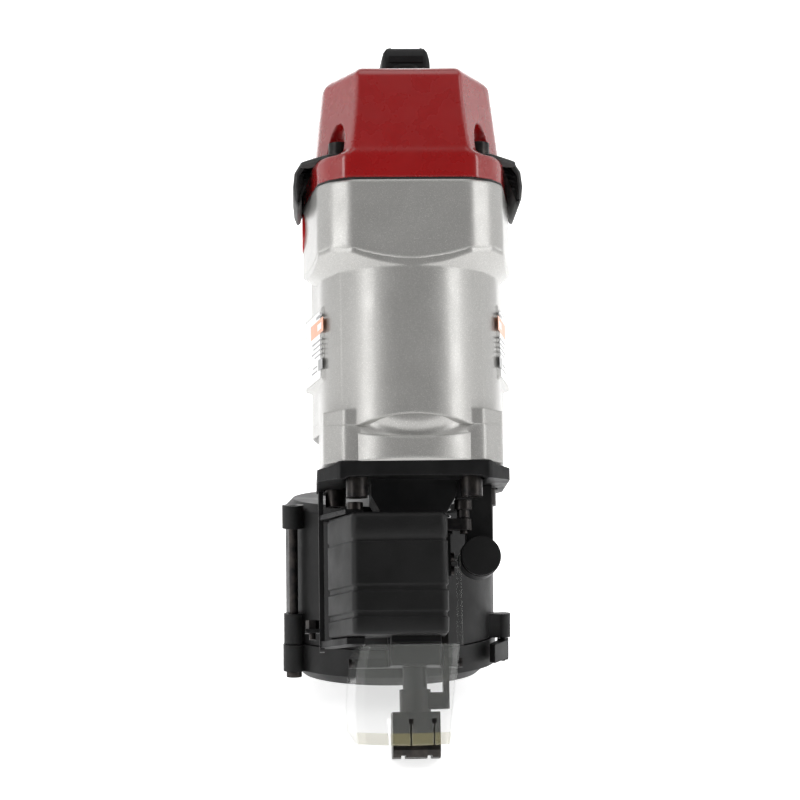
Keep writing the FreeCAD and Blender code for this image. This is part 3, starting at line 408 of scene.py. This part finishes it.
def radial_skin(name, levels, count, radius, material, body, replaced=()):
    """Closed skin whose radius about Z is radius(theta, z), with flat ends."""
    theta = np.linspace(0, 2 * math.pi, count, endpoint=False)
    grid_t, grid_z = np.meshgrid(theta, np.array(levels, float))
    r = radius(grid_t, grid_z)
    x = r * np.cos(grid_t)
    y = r * np.sin(grid_t)
    verts = np.stack([x, y, grid_z], axis=-1).reshape(-1, 3).tolist()
    faces = ring_faces(len(levels), count)
    faces.append(tuple(range(count))[::-1])
    faces.append(tuple((len(levels) - 1) * count + i for i in range(count)))
    return add_piece(name, verts, faces, material, body, replaced)


def outline(theta, corners, grow=0.0, k=0.45):
    """Rounded convex outline through the corners of one half (x > 0), mirrored in X."""
    whole = [(x, y) for x, y in corners] + [(-x, y) for x, y in corners[::-1]]
    sides = []
    for (x0, y0), (x1, y1) in zip(whole, whole[1:] + whole[:1]):
        length = math.hypot(x1 - x0, y1 - y0)
        nx, ny = (y1 - y0) / length, -(x1 - x0) / length
        sides.append(plane(theta, math.degrees(math.atan2(ny, nx)), nx * x0 + ny * y0 + grow))
    return soft_min(sides, k)


def disc_entry(theta, spot, radius):
    """Where rays from the axis first meet a round pocket."""
    along = spot[0] * np.cos(theta) + spot[1] * np.sin(theta)
    inside = along**2 - (spot[0]**2 + spot[1]**2 - radius**2)
    return np.where((inside > 0) & (along > 0), along - np.sqrt(np.maximum(inside, 0)), NO_HIT)


# ------------------------------------------------------------------ main housing
BAND = [(36, -57), (50, -50), (57, -40), (66, 18), (60, 55), (42, 62)]
FLANKS = [(43, -37), (52, -22), (61, 25), (57, 48), (40, 62)]
FOOT = [(42.5, -45), (55, -30), (57, 30), (44, 62)]
SKIN = 0.5
BARREL_RADIUS = 56.4
SINK = 30  # draws a shape in far enough to drop out of a soft_max
PANEL_LEAN = 12
PANEL_PLANE = 57.75


def housing_radius(theta, z):
    """Upper band, shouldered into a round barrel with flat flanks, and a squarer foot."""
    front = np.sin(theta)
    barrel = np.full_like(theta, BARREL_RADIUS)
    flanks = outline(theta, FLANKS, SKIN, 1.0)
    flanks = flanks - SINK * (1 - step(z, 196, 209)) - SINK * step(z, 306, 322)
    barrel = barrel - SINK * step(z, 326, 345)
    trunk = soft_max([barrel, flanks], 0.7)
    shoulder = 57 + (z - 300.0) * 1.7
    band = soft_min([outline(theta, BAND, SKIN, 0.9), np.maximum(shoulder, 20)], 0.5)
    foot = outline(theta, FOOT, SKIN, 1.2) - SINK * step(z, 203 + 5 * front, 216 + 5 * front)
    r = soft_max([trunk, band, foot], 0.5)
    # lens-shaped scoop in the front, above the nose plate
    x = r * np.cos(theta)
    middle = 190 + 15 * (x / 40) ** 2
    scoop = 3.2 * step(40 - np.abs(x), 0, 6) * np.exp(-((z - middle - 3) / 6.0) ** 2) * (front < -0.2)
    # raised label panels on both flanks
    y = r * np.sin(theta)
    across = step(y, -20.5, -18) * step(28 - y, 0, 2)
    panel = across * step(z, 230.5, 232.2) * step(279.5 - z, 0, 1.7)
    side = both_sides(theta, -PANEL_LEAN, PANEL_PLANE)
    r = np.where(panel > 0, np.maximum(r, r + (side - r) * panel), r) - scoop
    # the rear is set back behind the contact arm, with a gap where the contact lever swings
    rear = step(np.sin(theta), 0.80, 0.93) * (1 - step(z, 236, 246))
    gap = step(9.0 - np.abs(x), 0, 1.5) * step(z, 184, 187) * (1 - step(z, 232, 236)) * (front > 0)
    r = r - 2.4 * rear - 7.0 * gap
    # notch under the rear for the raised contact arm, which still touches the skin there
    notch = (front > 0) & (np.abs(x) < 24) & (z < 197)
    return np.where(notch, np.minimum(r, 38 / np.maximum(front, 0.2)), r)


levels = np.concatenate([[177.4], np.arange(178.2, 349, 1.2), [349.45]])
radial_skin("housing_skin", levels, 480, housing_radius, SILVER, "frame")


# ------------------------------------------------------------------ cylinder cap
CAP_LOW = [(40, -57), (52, -48), (57.5, -38), (66, 18), (60, 55), (42, 62)]
SCREWS = [(-43.5, -38), (43.5, -38), (-43.5, 45), (43.5, 45)]


def cap_radius(theta, z):
    """Leaning front and rear panels, receding corners with screw pockets, round boss on top."""
    t = np.clip((z - 366) / 57, 0, 1)
    low = outline(theta, CAP_LOW, 0.2, 0.9)
    front = plane(theta, -90, 57 - 6.5 * t)
    corner = np.degrees(np.arctan2(54 - 35, 29))
    chamfer = both_sides(theta, -corner + 2, 53.5 + 7.5 * (1 - t) ** 1.5)
    flank = [both_sides(theta, -7, 60 - 6.5 * t), both_sides(theta, 8, 63 - 7 * t)]
    rear = [both_sides(theta, 48, 68 - 6 * t), plane(theta, 90, 61 - 5 * t)]
    crown = soft_min([front, chamfer, *flank, *rear], 0.8)
    fade = step(z, 365, 370.5)
    r = low * (1 - fade) + np.minimum(low, crown) * fade
    for spot in SCREWS:
        radius = 8.6 * np.sqrt(np.clip(1 - (np.maximum(z, 374) - 374) ** 2 / 16.0**2, 0, 1)) * (z > 366.3)
        r = np.where(radius > 0.5, np.minimum(r, disc_entry(theta, spot, radius) - 0.2), r)
    r = r - np.clip(z - 418, 0, 5) ** 2 * 0.12
    r = r - 1.2 * (z > 423.001) - 5 * (z > 423.003)
    r = np.where(z > 423.005, np.where(z > 423.009, 19.0, 20.2), r)
    return np.maximum(r, 14)


levels = np.concatenate([
    [351.05, 351.5], np.arange(352.5, 366, 1.5), [366.2, 366.4], np.arange(367, 418, 1.0),
    np.arange(418.2, 423, 0.6), [423.0, 423.002, 423.004, 423.006, 423.01, 430.0],
])
cap = radial_skin("cap_skin", levels, 560, cap_radius, RED, "frame", ["cylinder_cap"])
keep_sharp(cap, 40)


# ------------------------------------------------------------------ solids from outlines
def slab(name, corners, low, high, material, body, place=TOOL, axes="xyz", edge=0.0):
    """Outline extruded between two levels; axes names the outline's two axes, then the level's."""
    count = len(corners)
    order = ["xyz".index(letter) for letter in axes]
    verts = []
    for level in (low, high):
        for a, b in corners:
            spot = [0.0, 0.0, 0.0]
            spot[order[0]], spot[order[1]], spot[order[2]] = a, b, level
            verts.append(spot)
    faces = ring_faces(2, count) + [tuple(range(count))[::-1], tuple(range(count, 2 * count))]
    piece = add_piece(name, verts, faces, material, body, place=place, smooth=False)
    if edge:
        bevel(piece, edge)


def lathe(name, profile, material, body, replaced=(), centre=(0, 0), axes="xyz", count=48):
    """Turned piece from (radius, level) points about one of the tool's axes."""
    order = ["xyz".index(letter) for letter in axes]
    verts = []
    for radius, level in profile:
        for i in range(count):
            a = 2 * math.pi * i / count
            spot = [0.0, 0.0, 0.0]
            spot[order[0]] = centre[0] + radius * math.cos(a)
            spot[order[1]] = centre[1] + radius * math.sin(a)
            spot[order[2]] = level
            verts.append(spot)
    faces = ring_faces(len(profile), count)
    last = (len(profile) - 1) * count
    faces += [tuple(range(count))[::-1], tuple(range(last, last + count))]
    keep_sharp(add_piece(name, verts, faces, material, body, replaced))


# ------------------------------------------------------------------ clear nose shield
SHIELD_LOW, SHIELD_HIGH = 8.0, 67.4


def shield_spot(s, z):
    """Point on the shield's wall: s runs 0..1 from the left wing round the front to the right edge."""
    t = (z - SHIELD_LOW) / (SHIELD_HIGH - SHIELD_LOW)
    wall = np.array([
        (-37.2, 14.0), (-36.0, -6.0), (-33.0, -34.0), (-28.0, -39.5), (-14.0, -41.0), (0.0, -41.3),
        (12.0, -41.0), (21.5, -39.5), (25.5, -34.0), (27.2, -6.0), (28.0, 14.0),
    ])
    narrowed = wall[:, 0] * (0.74 + 0.26 * t)
    spread = wall[:, 0] - 6.0 * t * (1 - t) * 2 - 3.0 * (1 - t)
    wall[:, 0] = np.where(wall[:, 0] > 0, narrowed, spread)
    wall[:, 1] = wall[:, 1] + 2.0 * t
    span = np.concatenate([[0], np.cumsum(np.hypot(*np.diff(wall, axis=0).T))])
    along = s * span[-1]
    return np.interp(along, span, wall[:, 0]), np.interp(along, span, wall[:, 1])


def build_shield():
    """Bent sheet with three slits cut up from its lower edge, each ending in a round stop."""
    columns, rows = 160, 42
    grid = []
    for j in range(rows + 1):
        for i in range(columns + 1):
            s = i / columns
            low = SHIELD_LOW + 9.0 * (1 - float(step(s, 0.0, 0.30))) + 1.0 * math.sin(9 * s)
            z = low + (SHIELD_HIGH - low) * j / rows
            x, y = shield_spot(s, z)
            ripple = 0.4 * math.sin(17 * s + 0.09 * z) * (1 - j / rows)
            grid.append((x, y + ripple, z))
    gone = set()
    for slit in (-17.5, -5.2, 8.3):
        front = range(int(columns * 0.35), int(columns * 0.8))
        column = min(front, key=lambda i: abs(grid[i][0] - slit))
        gone.update((row, column) for row in range(0, 10))
        gone.update((row, column + d) for row in (9, 10) for d in (-1, 0, 1))
    quads, tinted = [], []
    for j in range(rows):
        for i in range(columns):
            if (j, i) not in gone:
                a = j * (columns + 1) + i
                quads.append((a, a + 1, a + columns + 2, a + columns + 1))
                tinted.append(j < 5)
    piece = add_piece("shield_film", grid, quads, CLEAR, "frame", ["debris_shield"])
    piece.data.materials.append(CLEAR_EDGE)
    for face, edge in zip(piece.data.polygons, tinted):
        face.material_index = int(edge)
    solid = piece.modifiers.new("thickness", "SOLIDIFY")
    solid.thickness = 0.9 * MM
    solid.offset = 0


build_shield()
slab("shield_ear", [(-34, 66.5), (-30, 100), (-22, 124), (0, 124), (4, 110), (6, 66.5)], 27.1, 28.0,
     CLEAR, "frame", axes="yzx", edge=0.2)


# ------------------------------------------------------------------ rounded outlines with ribs
def rounded(corners, radius, steps=6):
    """Sample a polygon with its corners turned into arcs; returns points and outward normals."""
    points, normals = [], []
    count = len(corners)
    pairs = zip(corners, [*corners[1:], corners[0]])
    area = sum(x0 * y1 - x1 * y0 for (x0, y0), (x1, y1) in pairs)
    turn = 1 if area > 0 else -1
    for i in range(count):
        before, here, after = (Vector(corners[j % count]) for j in (i - 1, i, i + 1))
        into, out = (here - before).normalized(), (after - here).normalized()
        bend = into.angle(out)
        room = 0.45 * min((here - before).length, (after - here).length)
        reach = min(radius * math.tan(bend / 2), room)
        start, end = here - into * reach, here + out * reach
        for k in range(steps + 1):
            t = k / steps
            points.append((1 - t) ** 2 * start + 2 * t * (1 - t) * here + t * t * end)
            way = into.lerp(out, t).normalized()
            normals.append(Vector((way.y, -way.x)) * turn)
    return points, normals


def wrapped(name, corners, radius, levels, material, body, replaced=(), axes="xyz"):
    """Rounded outline lofted through (level, outward offset) pairs."""
    points, normals = rounded(corners, radius)
    order = ["xyz".index(letter) for letter in axes]
    verts = []
    for level, offset in levels:
        for point, normal in zip(points, normals):
            at = point + normal * offset
            spot = [0.0, 0.0, 0.0]
            spot[order[0]], spot[order[1]], spot[order[2]] = at.x, at.y, level
            verts.append(spot)
    faces = ring_faces(len(levels), len(points))
    last = (len(levels) - 1) * len(points)
    faces += [tuple(range(len(points)))[::-1], tuple(range(last, last + len(points)))]
    keep_sharp(add_piece(name, verts, faces, material, body, replaced), 40)


def rib(level, width, height):
    """Levels and offsets of one rounded rib round an outline."""
    crest = width * 0.55
    return [(level - width, 0.0), (level - crest, height), (level + crest, height), (level + width, 0.0)]


# ------------------------------------------------------------------ nose cover and door
cover_levels = [(73.0, -2.5), (73.6, -1.0), (75.0, -0.2)] + rib(85, 2.2, -1.1) + rib(101, 2.2, -1.1)
cover_levels += rib(126.5, 2.4, 0.0) + [(129.2, -0.9), (130.8, -0.9), (132.0, 0.0)]
cover_levels += [(143.5, 0.0), (145.8, -1.0), (147.0, -2.8)]
wrapped("nose_cover_shell", [(19.4, -12), (-20, -12), (-50.5, -3), (-53, -6), (-38, -45), (19.4, -45)], 5.5,
        cover_levels, MOULD, "door", ["nose_cover"])

# ------------------------------------------------------------------ exhaust deflector
base = [(0.5, 430.3), (18.6, 430.3), (19.4, 431.0), (19.4, 434.2), (18.4, 435.4), (0.5, 435.8)]
lathe("deflector_base", base, MOULD, "deflector", ["exhaust_deflector"])
wrapped("deflector_hood", [(-15.5, -18), (15.5, -18), (16.5, 4), (9, 13), (-9, 13), (-16.5, 4)], 5,
        [(433, 0), (439, -0.4), (444, -1.6), (446.6, -3.6), (447.6, -6.5)],
        MOULD, "deflector")
# painted shade: a matte black sheet on the hood's front stands in for the shaded opening of the exhaust
# slot
slab("deflector_slot_shade", [(-11, 436.2), (11, 436.2), (11, 440.8), (-11, 440.8)], -18.4, -17.2,
     SLOT_SHADE, "deflector", axes="xzy", edge=0.3)

# ------------------------------------------------------------------ side bumpers
BUMPER = [(58, 366.3), (63, 365.4), (66.7, 360), (66.7, 349), (67.4, 343.5), (69.6, 342.2), (71.4, 347),
          (72.2, 355), (71.2, 364), (67.4, 370.2), (62, 372.2), (56, 371.2)]
for side, node in ((1, "side_bumper_right"), (-1, "side_bumper_left")):
    hook = [(side * x, z) for x, z in BUMPER]
    wrapped(f"{node}_rail", hook, 2.2,
            [(-22, -2.0), (-20.5, -0.5), (-18, 0), (30, 0), (32.5, -0.5), (34, -2.0)],
            RUBBER, "frame", [node], axes="xzy")
    for y in (-38, 45):
        near = -26 if y < 0 else 26
        strap = [(36.6, y - 7), (50, y - 8), (63, near - 6), (68, near), (66, near + 8), (50, y + 8),
                 (36.6, y + 7)]
        strap = [(side * x, depth) for x, depth in strap]
        wrapped(f"{node}_strap_{near}", strap, 6, [(366.25, -0.8), (366.8, 0), (368.4, 0), (369.0, -0.8)],
                RUBBER, "frame")

# ------------------------------------------------------------------ labels
PRINTS = [(-13, 22, 262, 271, "band"), (-10, 6, 272.2, 274, "ink"), (-10, 18, 257.5, 258.6, "ink"),
          (-10, 15, 254.5, 255.3, "ink"), (-10, 20, 251.5, 252.3, "ink"), (-10, 12, 248.5, 249.3, "ink"),
          (-10, 2, 239, 246, "ink"), (5, 20, 239.5, 240.4, "ink"), (5, 17, 242.5, 243.4, "ink"),
          (-8, 3, 264.5, 268.5, "white")]
LABEL_FACE = 58.1
for side in (-1, 1):
    lean = math.radians(PANEL_LEAN)
    label_plane = Matrix((
        (side * math.sin(lean), 0, side * math.cos(lean), 0), (math.cos(lean), 0, -math.sin(lean), 0),
        (0, 1, 0, 0), (0, 0, 0, 1),
    ))
    for n, (u0, u1, z0, z1, kind) in enumerate(PRINTS):
        paint = {"band": ORANGE, "ink": INK, "white": LABEL}[kind]
        top = 58.26 + 0.03 * (kind == "white")
        slab(f"label_print_{side}_{n}", [(u0, z0), (u1, z0), (u1, z1), (u0, z1)], LABEL_FACE, top,
             paint, "frame", place=TOOL @ label_plane)

# ------------------------------------------------------------------ ribbed rubber grip
profile = [(18.2, 108.2), (20.8, 108.2), (21.6, 109.5), (21.6, 114)]
for k in range(22):
    y = 117 + k * 5.6
    profile += [(21.6, y - 1.2), (20.7, y - 0.5), (20.7, y + 0.5), (21.6, y + 1.2)]
profile += [(21.6, 246), (21.6, 250.5), (20.8, 251.8), (18.2, 251.8)]
lathe("grip_rubber", profile, RUBBER, "frame", ["grip_sleeve"], centre=(0, 262),
      axes="xzy", count=72)


# ------------------------------------------------------------------ floor and finish
def add_floor():
    """Pale floor, curving up into a backdrop behind the tool and at both sides, open at the front."""
    around, cove = 96, range(1, 13)
    rings = [0.05, 0.5, 1.0, 1.6, 2.2] + [2.2 + 0.1 * k for k in cove] + [3.4, 3.4, 3.4]
    curve = [1.2 - 1.2 * math.sqrt(max(0.0, 1 - (0.1 * k / 1.2) ** 2)) for k in cove]
    rise = [0.0] * 5 + curve + [2.4, 3.6, 5.0]
    verts = []
    for radius, height in zip(rings, rise):
        for i in range(around):
            a = 2 * math.pi * i / around
            back = float(step(math.sin(a), -0.75, -0.35))
            reach = radius + (1 - back) * max(0.0, radius - 2.2 + height) * 3.0
            verts.append((reach * math.cos(a), reach * math.sin(a), height * back))
    mesh = bpy.data.meshes.new("floor")
    faces = [face[::-1] for face in ring_faces(len(rings), around)]
    mesh.from_pydata(verts, [], faces + [tuple(range(around))])
    for face in mesh.polygons:
        face.use_smooth = True
    floor = bpy.data.objects.new("floor", mesh)
    bpy.context.scene.collection.objects.link(floor)
    paint = Paint("floor_white", (0.92, 0.92, 0.92), rough=0.6)
    paint.tint(paint.noise(3, 2.0), (0.90, 0.90, 0.90), 0.5)
    # painted light: the floor glows, brighter across the middle near the tool and dimmer towards the sides
    paint.shader.inputs["Emission Color"].default_value = (1, 1, 1, 1)
    split = paint.tree.nodes.new("ShaderNodeSeparateXYZ")
    paint.tree.links.new(paint.coords, split.inputs["Vector"])
    across = paint.tree.nodes.new("ShaderNodeMath")
    across.operation = "ABSOLUTE"
    paint.tree.links.new(split.outputs["X"], across.inputs[0])
    painted_glow = paint.ramp(across.outputs["Value"], 0.9, 1.9, 0.80, 0.22)
    paint.tree.links.new(painted_glow, paint.shader.inputs["Emission Strength"])
    mesh.materials.append(paint.material)


add_floor()
